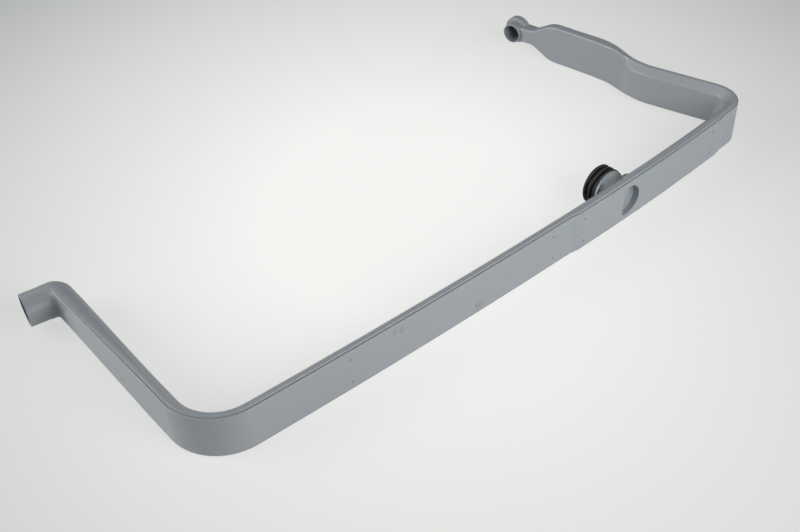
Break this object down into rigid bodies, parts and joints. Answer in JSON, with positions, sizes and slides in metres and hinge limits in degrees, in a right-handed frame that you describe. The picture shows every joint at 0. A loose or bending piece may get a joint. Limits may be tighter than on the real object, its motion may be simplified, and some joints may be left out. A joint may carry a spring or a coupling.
{
  "type": "dishwasher water manifold",
  "caption": "Flat grey plastic water duct bent in a U, with a round inlet spigot, a docking outlet with a black ribbed seal, and a round outlet at the upper end.",
  "frame": {"origin": "centre of the inlet spigot's mouth", "axes": "+X along the riser from the lower arm to the upper arm; +Y from the riser towards the arms' ends; +Z across the flat duct, which lies on its edge"},
  "size_m": [0.5913, 0.2752, 0.0384],
  "materials": {
    "duct_plastic": "moulded grey polypropylene, satin, fine matt grain",
    "seal_rubber": "black moulded rubber, slight sheen"
  },
  "bodies": {
    "root": {"channel": "duct_plastic", "cover": "duct_plastic", "docking_seal": "seal_rubber"}
  },
  "joints": []
}
